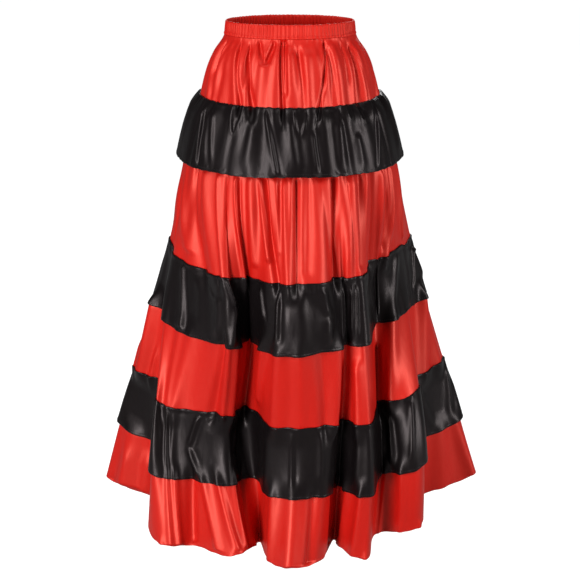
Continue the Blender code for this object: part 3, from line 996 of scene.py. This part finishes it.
@dataclass
class StitchLine:
    """A run of straight stitches along one row of a panel, each a small closed bead of thread."""

    name: str
    pitch: float = 0.0034
    length: float = 0.0026
    thick: float = 0.00050
    sunk: float = 0.00012

    def _bead(self) -> tuple[np.ndarray, list[list[int]]]:
        """One stitch along +X with +Z out of the cloth: two points and two square rings between them."""
        half, wide = self.length / 2, self.thick / 2
        spots = [(-half, 0.0, -self.sunk)]
        for x in (-0.55 * half, 0.55 * half):
            spots += [(x, -wide, 0.0), (x, 0.0, wide), (x, wide, 0.0), (x, 0.0, -wide)]
        spots.append((half, 0.0, -self.sunk))
        faces = []
        for i in range(4):
            j = (i + 1) % 4
            faces.append([0, 1 + j, 1 + i])
            faces.append([1 + i, 1 + j, 5 + j, 5 + i])
            faces.append([9, 5 + i, 5 + j])
        return np.array(spots), faces

    def build(self, lines: Sequence[tuple[np.ndarray, np.ndarray]], material: bpy.types.Material) -> bpy.types.Object:
        """Sews along each line.

        Args:
            lines: For each line, its points and the directions out of the cloth there.
            material: The thread's material.

        Returns:
            One object with all the stitches.
        """
        bead, faces = self._bead()
        made_points, made_faces = [], []
        count = 0
        for points, ways in lines:
            travelled = np.concatenate([[0.0], np.cumsum(np.linalg.norm(np.diff(points, axis=0), axis=1))])
            stops = np.arange(self.pitch / 2, travelled[-1], self.pitch)
            middle = np.stack([np.interp(stops, travelled, points[:, axis]) for axis in range(3)], axis=1)
            ahead = np.stack([np.interp(stops + self.length / 2, travelled, points[:, k]) for k in range(3)], axis=1)
            behind = np.stack([np.interp(stops - self.length / 2, travelled, points[:, k]) for k in range(3)], axis=1)
            out = unit(np.stack([np.interp(stops, travelled, ways[:, axis]) for axis in range(3)], axis=1))
            run = unit(ahead - behind)
            side = unit(np.cross(out, run))
            out = np.cross(run, side)
            spots = (
                middle[:, None]
                + run[:, None] * bead[None, :, :1]
                + side[:, None] * bead[None, :, 1:2]
                + out[:, None] * (bead[None, :, 2:] + self.thick * 0.35)
            )
            made_points.append(spots.reshape(-1, 3))
            for number in range(len(stops)):
                first = count + number * len(bead)
                made_faces += [[first + corner for corner in face] for face in faces]
            count += len(stops) * len(bead)
        mesh = bpy.data.meshes.new(self.name)
        mesh.from_pydata(np.concatenate(made_points).tolist(), [], made_faces)
        mesh.polygons.foreach_set("use_smooth", [True] * len(mesh.polygons))
        mesh.materials.append(material)
        made = bpy.data.objects.new(self.name, mesh)
        bpy.context.scene.collection.objects.link(made)
        return made


def half_places(half: Half, count: int, spare: int = 2) -> np.ndarray:
    """The places of one half's columns, with spare ones past both side seams.

    Args:
        half: Front or back.
        count: How many columns lie from seam to seam.
        spare: How many lie past each seam, for true directions there.

    Returns:
        Rising places; the back's run past 1.
    """
    first, last = (PLAN.left, PLAN.right) if half is Half.FRONT else (PLAN.right, PLAN.left + 1.0)
    step = (last - first) / (count - 1)
    return first + step * np.arange(-spare, count + spare)


def report(piece: bpy.types.Object) -> None:
    """Logs a finished piece and its size."""
    piece.data.calc_loop_triangles()
    LOG.info("%s: %d triangles", piece.name, len(piece.data.loop_triangles))


@dataclass
class Waistband:
    """The elastic casing: one strip folded over, its small gathers pulled in by the elastic."""

    depth: float = 0.025
    gathers: int = 104
    gather_depth: float = 0.00058
    steps_per_gather: int = 10
    stitch_down: float = 19.6
    cut_length: float = 0.90
    seed: int = 5

    # Down the casing in mm, how far the wall lies off its middle, and how strong the gathers are there.
    OUTER = (
        (0.0, 0.00, 0.25),
        (0.3, 0.75, 0.45),
        (1.0, 1.20, 0.70),
        (3.0, 1.50, 1.00),
        (6.5, 1.62, 1.15),
        (10.0, 1.68, 1.20),
        (13.5, 1.66, 1.15),
        (17.0, 1.52, 0.95),
        (18.8, 1.25, 0.70),
        (19.6, 0.92, 0.55),
        (20.5, 1.22, 0.75),
        (22.3, 1.38, 0.95),
        (24.1, 1.15, 0.85),
        (24.8, 0.70, 0.60),
        (25.0, 0.15, 0.40),
    )

    def _turns(self, dice: np.random.Generator) -> tuple[np.ndarray, np.ndarray]:
        """Uneven places of the gathers, and how strong each one is."""
        widths = dice.uniform(0.65, 1.35, self.gathers)
        knots = np.concatenate([[0.0], np.cumsum(widths)]) / widths.sum()
        strength = dice.uniform(0.55, 1.25, self.gathers)
        return knots, np.append(strength, strength[0])

    def build(self) -> None:
        dice = np.random.default_rng(self.seed)
        columns = self.gathers * self.steps_per_gather
        places = np.arange(-2, columns + 2) / columns
        downs = np.arange(0.0, 0.0301, 0.0025)
        laid = Drape(places).gathered(downs, np.zeros((len(downs), 1)), np.zeros(len(downs)))
        knots, strength = self._turns(dice)
        turns = np.interp(places % 1.0, knots, np.arange(len(knots)))
        wave = np.cos(2.0 * math.pi * turns) * np.interp(turns, np.arange(len(knots)), strength)
        drift = np.interp((places * 7.3) % 1.0, np.linspace(0, 1, 9), [*(values := dice.uniform(-1, 1, 8)), values[0]])
        profile = list(self.OUTER) + [(down, -off, waves) for down, off, waves in self.OUTER[-2:0:-1]]
        lifts = np.array([[off * MM] for _, off, _ in profile]) + (
            np.array([[waves] for *_, waves in profile]) * wave[None, :] * self.gather_depth
        )
        level = np.array([down for down, *_ in profile])
        edge = np.exp(-level / 2.5)[:, None] * (0.35 * wave + 0.25 * drift)[None, :] * MM
        points, ways = laid.rows(level[:, None] * MM + edge, lifts)
        cut = slice(2, -2)
        grid = SheetGrid("waistband_cloth", points[:, cut], ways[:, cut], places[cut], level * MM, self.cut_length)
        band = grid.build(CASING_SATIN.material(), closed=True)
        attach(band, BODY)
        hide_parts("waistband")
        report(band)
        row = [down for down, *_ in self.OUTER].index(self.stitch_down)
        loop = [np.concatenate([array[row, cut], array[row, cut][:1]]) for array in (points, ways)]
        stitches = StitchLine("waistband_stitches").build([(loop[0], loop[1])], RED_THREAD.material())
        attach(stitches, BODY)
        report(stitches)


@dataclass
class RolledHem:
    """A narrow hem, rolled under and stitched: its profile down from the stitches, in mm."""

    depth: float = 5.0

    def rows(self, bottom: float) -> tuple[list[float], list[float]]:
        """The rows from the stitch line round the edge and back up inside.

        Args:
            bottom: The distance down of the free edge, in mm.

        Returns:
            The distances down and the heights off the cloth, both in mm.
        """
        top = bottom - self.depth
        steps = (
            (top - 1.2, 0.0),
            (top, -0.12),
            (top + 0.9, 0.10),
            (top + self.depth * 0.5, 0.18),
            (bottom - 0.5, 0.10),
            (bottom, -0.30),
            (bottom - 0.5, -0.75),
            (top + self.depth * 0.5, -0.85),
            (top + 0.4, -0.55),
        )
        return [down for down, _ in steps], [lift for _, lift in steps]


@dataclass
class SkirtPanels:
    """The red skirt: a front and a back panel, gathered into the waistband and rolled at the hem."""

    columns: tuple[int, int] = (512, 432)
    covered: tuple[tuple[float, float], ...] = ((145.0, 265.0), (450.0, 580.0), (730.0, 870.0))
    hem: float = 1000.0
    waist_cut_width: float = 0.90
    hem_cut_width: float = 2.76
    rolled: RolledHem = field(default_factory=lambda: RolledHem(6.0))
    seed: int = 11

    def _downs(self) -> np.ndarray:
        """Where the panels have rows: close together where the cloth shows, few under the flounces."""
        shown = [(25.2, 146.0, 3.1), (256.0, 451.0, 4.5), (574.0, 731.0, 4.8), (864.0, 992.0, 4.8)]
        rows: list[float] = []
        for first, last, step in shown:
            rows += list(np.linspace(first, last, int(round((last - first) / step)) + 1))
        for first, last in self.covered:
            rows += list(np.linspace(first + 5.0, last - 8.0, 10 if first > 200.0 else 7))
        return np.array(sorted(row for row in rows if row < self.hem - self.rolled.depth - 2.0))

    @staticmethod
    def folds() -> list[Crease]:
        """The skirt's folds, the front's as listed and the back's like them, run on under the flounces."""
        placed = YOKE_CREASES + MIDDLE_CREASES + LOWER_CREASES + HEM_CREASES
        both = list(placed) + turned(placed, np.random.default_rng(11))
        return carried(both, (145.0, 450.0, 580.0, 730.0, 870.0))

    def _creases(self, dice: np.random.Generator) -> list[Crease]:
        """The folds, the hem's curls and the small gathers at each seam."""
        made = self.folds() + list(HEM_CURLS) + turned(HEM_CURLS, dice)
        rows = (
            GatherRow(78, 25.0, (4, 26), (1.7, 2.8), (-1.1, 0.9), 1.8, 0.006),
            GatherRow(90, 146.0, (4, 14), (1.8, 3.2), (-0.8, 0.7), 1.6, 0.003, above=True),
            GatherRow(120, 451.0, (5, 15), (2.0, 3.4), (-0.9, 1.0), 1.6, 0.002, above=True),
            GatherRow(150, 731.0, (5, 16), (2.2, 3.8), (-0.9, 1.0), 1.6, 0.002, above=True),
        )
        for row in rows:
            made += row.creases(dice)
        return made

    def build(self) -> list[SheetGrid]:
        """Builds and dresses both panels, attaches them to the body and hides the model's panels.

        Returns:
            The two finished grids.
        """
        creases = self._creases(np.random.default_rng(self.seed))
        cloth = RED_SATIN.material()
        grids, hem_lines = [], []
        for half, count in zip(Half, self.columns):
            places = half_places(half, count)
            fine = np.arange(0.0, 1.00001, 0.005)
            laid = Drape(places).gathered(fine, np.zeros((len(fine), 1)), np.zeros(len(fine)))
            body = self._downs()
            hem_downs, hem_lifts = self.rolled.rows(self.hem)
            downs = np.concatenate([body, hem_downs]) * MM
            lifts = np.concatenate([np.zeros(len(body)), hem_lifts]) * MM
            relief = Relief(places, downs, laid.girths(downs))
            relief.press_all(creases)
            heights = relief.heights
            near = ramp((downs / MM - self.hem + 14.0) / 14.0)[:, None]
            ripple = np.sin(places * 2.0 * math.pi * 61) * 0.5 + np.sin(places * 2.0 * math.pi * 97 + 1.3) * 0.4
            level = downs[:, None] + near * ripple[None, :] * 0.8 * MM
            points, ways = laid.rows(level, heights + lifts[:, None])
            cut = slice(2, -2)
            name = f"skirt_{half.value}"
            grid = SheetGrid(f"{name}_cloth", points[:, cut], ways[:, cut], places[cut], downs, self.hem_cut_width)
            panel = grid.build(cloth)
            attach(panel, BODY)
            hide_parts(name)
            report(panel)
            grids.append(grid)
            hem_lines.append((points[len(body) + 1, cut], ways[len(body) + 1, cut]))
        stitches = StitchLine("hem_stitches", 0.0042, 0.0032).build(hem_lines, RED_THREAD.material())
        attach(stitches, BODY)
        report(stitches)
        return grids


@dataclass
class FlouncePair:
    """One flounce: two gathered strips sewn round the skirt by their top edges. Sizes in mm."""

    name: str
    top: float
    bottom: float
    stand: float
    puff: float
    wave: float
    creases: tuple[Crease, ...]
    swags: tuple[Swag, ...]
    gathers: int
    gather_height: float
    soft_folds: int
    fold_height: float
    cut_width: float
    seed: int
    side_bulge: float = 0.0
    puff_at: float = 20.0
    laid_gap: float = 1.5
    columns: tuple[int, int] = (600, 504)
    rolled: RolledHem = field(default_factory=lambda: RolledHem(5.0))

    def _bulge(self, downs: np.ndarray, places: np.ndarray) -> np.ndarray:
        """How much further it stands off at the sides, where its own weight pulls it less tight."""
        share = np.clip((downs / MM - self.top) / (self.bottom - self.top), 0.0, 1.0)
        return self.side_bulge * MM * np.sin(math.pi * share**0.6)[:, None] * np.sin(2.0 * math.pi * places)[None, :] ** 2

    def _stand(self, downs: np.ndarray) -> np.ndarray:
        """How far the flounce stands off the skirt at each distance down, in metres."""
        spots = np.array([self.top - 6.0, self.top, self.top + self.puff_at, self.bottom, self.bottom + 10.0])
        slope = self.stand * (1.0 - self.puff) / (self.bottom - self.top - self.puff_at)
        heights = [0.0, 0.0, self.stand * self.puff, self.stand, self.stand + slope * 10.0]
        raw = np.interp(downs / MM, spots, heights)
        share = np.clip((downs / MM - self.top) / self.puff_at, 0.0, 1.0)
        early = self.stand * self.puff * np.sin(share * math.pi / 2.0)
        return np.where(downs / MM < self.top + self.puff_at, early, raw) * MM

    def _all_creases(self, dice: np.random.Generator) -> list[Crease]:
        """The listed creases, those of the back like them, and the gathers between them."""
        made = list(self.creases) + turned(self.creases, dice)
        rows = (
            GatherRow(self.gathers, self.top - 1.0, (5, 24), (1.8, 3.2), (0.1, self.gather_height), 1.9, 0.010),
            GatherRow(self.gathers // 6, self.top - 1.0, (16, 54), (2.8, 4.4), (-0.4, self.gather_height), 2.4, 0.016),
        )
        for row in rows:
            made += row.creases(dice)
        for number in range(self.soft_folds):
            place = (number + dice.uniform(0.1, 0.9)) / self.soft_folds
            low = place + dice.normal(0.0, 0.005)
            start = self.top + dice.uniform(4.0, 40.0)
            width = dice.uniform(7.0, 12.0)
            height = self.fold_height * dice.uniform(0.3, 1.0)
            made.append(Crease(place, start, low, self.bottom + 4, width, width * 1.5, height, 0, 0.4, 0.05))
        edge = GatherRow(self.gathers, self.bottom - self.rolled.depth, (4, 12), (1.6, 2.6), (-0.6, 0.8))
        made += [replace(crease, top_fade=0.8, low_fade=0.0) for crease in replace(edge, above=True).creases(dice)]
        return made

    def _lies_on(self, fold: Crease) -> bool:
        """Whether the flounce follows a fold of the skirt: not a fold below, where it stands well off."""
        return self.stand < 8.0 or fold.top_down < self.top

    def _rows(self) -> tuple[np.ndarray, np.ndarray]:
        """The rows from the turned-over top edge down to the rolled lower edge, and their lifts, in mm."""
        shoulder = ((0.2, 0.25), (-1.0, 0.7), (-1.6, 1.5), (-1.2, 2.2), (0.4, 2.5), (2.5, 2.3), (5.0, 1.9))
        downs = [self.top + down for down, _ in shoulder]
        lifts = [lift for _, lift in shoulder]
        last = self.bottom - self.rolled.depth - 3.0
        body = np.linspace(self.top + 8.0, last, int(round((last - self.top - 8.0) / 2.9)) + 1)
        downs += list(body)
        lifts += [self.laid_gap] * len(body)
        hem_downs, hem_lifts = self.rolled.rows(self.bottom)
        downs += hem_downs
        lifts += [self.laid_gap + lift for lift in hem_lifts]
        return np.array(downs) * MM, np.array(lifts) * MM

    def build(self, cloth: bpy.types.Material, thread: bpy.types.Material) -> None:
        """Args:
            cloth: The flounce's material.
            thread: The thread's material.
        """
        dice = np.random.default_rng(self.seed)
        creases = self._all_creases(dice)
        swags = list(self.swags) + turned_swags(self.swags, dice)
        hem_lines = []
        for half, count in zip(Half, self.columns):
            places = half_places(half, count)
            fine = np.arange(self.top - 10.0, min(self.bottom + 8.0, 1000.0), 2.5) * MM
            share = np.clip((fine / MM - self.top) / (self.bottom - self.top), 0.0, 1.2)
            stand = self._stand(fine)[:, None] + self._bulge(fine, places)
            laid = Drape(places).gathered(fine, stand, share * self.wave * MM)
            downs, lifts = self._rows()
            relief = Relief(places, downs, laid.girths(downs))
            relief.press_all(creases)
            for swag in swags:
                relief.hang(swag)
            start = ramp((downs / MM - self.top + 2.0) / 3.0)[:, None]
            heights = np.maximum(relief.heights, -1.0 * MM - self._stand(downs)[:, None] * 0.4) * start
            under = Relief(places, downs, laid.girths(downs))
            under.press_all([fold for fold in SkirtPanels.folds() if self._lies_on(fold)])
            heights = heights + under.heights
            scallop = np.sin(places * math.pi * self.gathers * 1.37) * 0.35 + np.sin(places * math.pi * 2 * 83) * 0.3
            at_top = ramp(1.0 - (downs / MM - self.top) / 4.0)[:, None]
            at_hem = ramp((downs / MM - self.bottom + 12.0) / 12.0)[:, None]
            edge = at_top * scallop[None, :] * 1.1 * MM + at_hem * scallop[None, ::-1] * 0.9 * MM
            points, ways = laid.rows(downs[:, None] + edge, heights + lifts[:, None])
            cut = slice(2, -2)
            name = f"{self.name}_{half.value}"
            grid = SheetGrid(f"{name}_cloth", points[:, cut], ways[:, cut], places[cut], downs, self.cut_width)
            strip = grid.build(cloth)
            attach(strip, BODY)
            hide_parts(name)
            report(strip)
            stitched = len(downs) - 8
            hem_lines.append((points[stitched, cut], ways[stitched, cut]))
        stitches = StitchLine(f"{self.name}_stitches", 0.0042, 0.0032).build(hem_lines, thread)
        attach(stitches, BODY)
        report(stitches)


FLOUNCES = (
    FlouncePair("flounce_1", 145, 265, 18.0, 0.46, -1.3, FIRST_CREASES, FIRST_SWAGS, 84, 1.3, 12, 1.6, 1.72, 21, 7.0, 34.0),
    FlouncePair("flounce_2", 450, 580, 3.6, 0.35, 1.0, SECOND_CREASES, SECOND_SWAGS, 120, 1.8, 26, 2.4, 2.10, 22),
    FlouncePair("flounce_3", 730, 870, 3.6, 0.35, 1.0, THIRD_CREASES, THIRD_SWAGS, 120, 1.8, 28, 2.6, 2.80, 23),
)


# ---- studio ----


@dataclass(frozen=True)
class Softbox:
    """A rectangular softbox: where it stands, what it points at, its size in metres and its power in watts."""

    name: str
    spot: tuple[float, float, float]
    aim: tuple[float, float, float]
    size: tuple[float, float]
    power: float

    def build(self) -> None:
        """Puts the softbox up."""
        lamp = bpy.data.lights.new(self.name, "AREA")
        lamp.shape = "RECTANGLE"
        lamp.size, lamp.size_y = self.size
        lamp.energy = self.power
        made = bpy.data.objects.new(self.name, lamp)
        made.location = self.spot
        towards = Vector(self.aim) - Vector(self.spot)
        made.rotation_euler = towards.to_track_quat("-Z", "Y").to_euler()
        bpy.context.scene.collection.objects.link(made)


@dataclass
class Studio:
    """A plain pale floor, soft light, and the camera at the picture's angle."""

    floor_level: float = -1.16
    floor_size: float = 60.0
    camera_spot: tuple[float, float, float] = (0.0, -2.2686, 0.2538)
    camera_tilt: float = 18.33
    lens: float = 77.28
    ambient: float = 0.07
    floor_glow: float = 0.12
    softboxes: tuple[Softbox, ...] = (
        Softbox("key softbox", (-1.65, -2.15, 0.9), (0.0, 0.0, -0.5), (0.7, 1.7), 64.0),
        Softbox("low softbox", (-1.35, -2.35, -0.65), (0.0, 0.0, -0.75), (0.6, 0.9), 42.0),
        Softbox("right softbox", (2.45, -1.2, 0.1), (0.0, 0.0, -0.6), (0.5, 2.2), 60.0),
        Softbox("left softbox", (-2.3, -0.9, 0.4), (0.0, 0.0, -0.45), (0.40, 2.2), 6.0),
        Softbox("top softbox", (0.0, -0.2, 2.4), (0.0, 0.0, -0.5), (2.4, 2.0), 18.0),
        Softbox("back softbox", (0.4, 2.6, 1.0), (0.0, 0.0, -0.5), (1.6, 1.8), 40.0),
    )

    def _floor(self) -> None:
        """Lays the floor."""
        bpy.ops.object.select_all(action="DESELECT")
        bpy.ops.mesh.primitive_plane_add(size=self.floor_size, location=(0.0, 0.0, self.floor_level))
        floor = bpy.context.object
        floor.name = "studio_floor"
        paper = bpy.data.materials.new("white background paper")
        paper.use_nodes = True
        tree = paper.node_tree
        tree.nodes.clear()
        out = add_node(tree, "ShaderNodeOutputMaterial", {}, {})
        glow = self._seen_and_felt(tree, self.floor_glow)
        skin = add_node(
            tree,
            "ShaderNodeBsdfPrincipled",
            {},
            {
                "Base Color": linear("#8C8C8C"),
                "Roughness": 0.9,
                "Specular IOR Level": 0.1,
                "Emission Color": linear("#FFFFFF"),
                "Emission Strength": glow,
            },
        )
        tree.links.new(skin.outputs[0], out.inputs["Surface"])
        floor.data.materials.append(paper)
        floor.visible_diffuse = False

    @staticmethod
    def _seen_and_felt(tree: bpy.types.NodeTree, felt: float) -> bpy.types.NodeSocket:
        """A strength that is 1 where the camera looks, and lower where it lights or is mirrored."""
        ray = add_node(tree, "ShaderNodeLightPath", {}, {}).outputs["Is Camera Ray"]
        return add_node(tree, "ShaderNodeMapRange", {}, {"Value": ray, "To Min": felt, "To Max": 1.0}).outputs[0]

    def _air(self) -> None:
        """Fills the room with even white light."""
        world = bpy.data.worlds.new("studio air")
        world.use_nodes = True
        tree = world.node_tree
        tree.nodes.clear()
        strength = self._seen_and_felt(tree, self.ambient)
        air = add_node(tree, "ShaderNodeBackground", {}, {"Color": (1.0, 1.0, 1.0, 1.0), "Strength": strength})
        out = add_node(tree, "ShaderNodeOutputWorld", {}, {})
        tree.links.new(air.outputs[0], out.inputs["Surface"])
        bpy.context.scene.world = world

    def build(self) -> None:
        """Sets up the floor, the light and the camera."""
        self._floor()
        self._air()
        for softbox in self.softboxes:
            softbox.build()
        lens = bpy.data.cameras.new("studio camera")
        lens.lens = self.lens
        lens.sensor_width = 36.0
        camera = bpy.data.objects.new("studio camera", lens)
        camera.location = self.camera_spot
        camera.rotation_euler = (math.radians(90.0 - self.camera_tilt), 0.0, 0.0)
        bpy.context.scene.collection.objects.link(camera)
        bpy.context.scene.camera = camera
        bpy.context.scene.view_settings.view_transform = "Standard"


def main() -> None:
    """Builds the skirt and the studio."""
    logging.basicConfig(level=logging.INFO, format="%(message)s")
    SkirtPanels().build()
    Waistband().build()
    black, thread = BLACK_SATIN.material(), BLACK_THREAD.material()
    for flounce in FLOUNCES:
        flounce.build(black, thread)
    Studio().build()


if __name__ == "__main__":
    main()
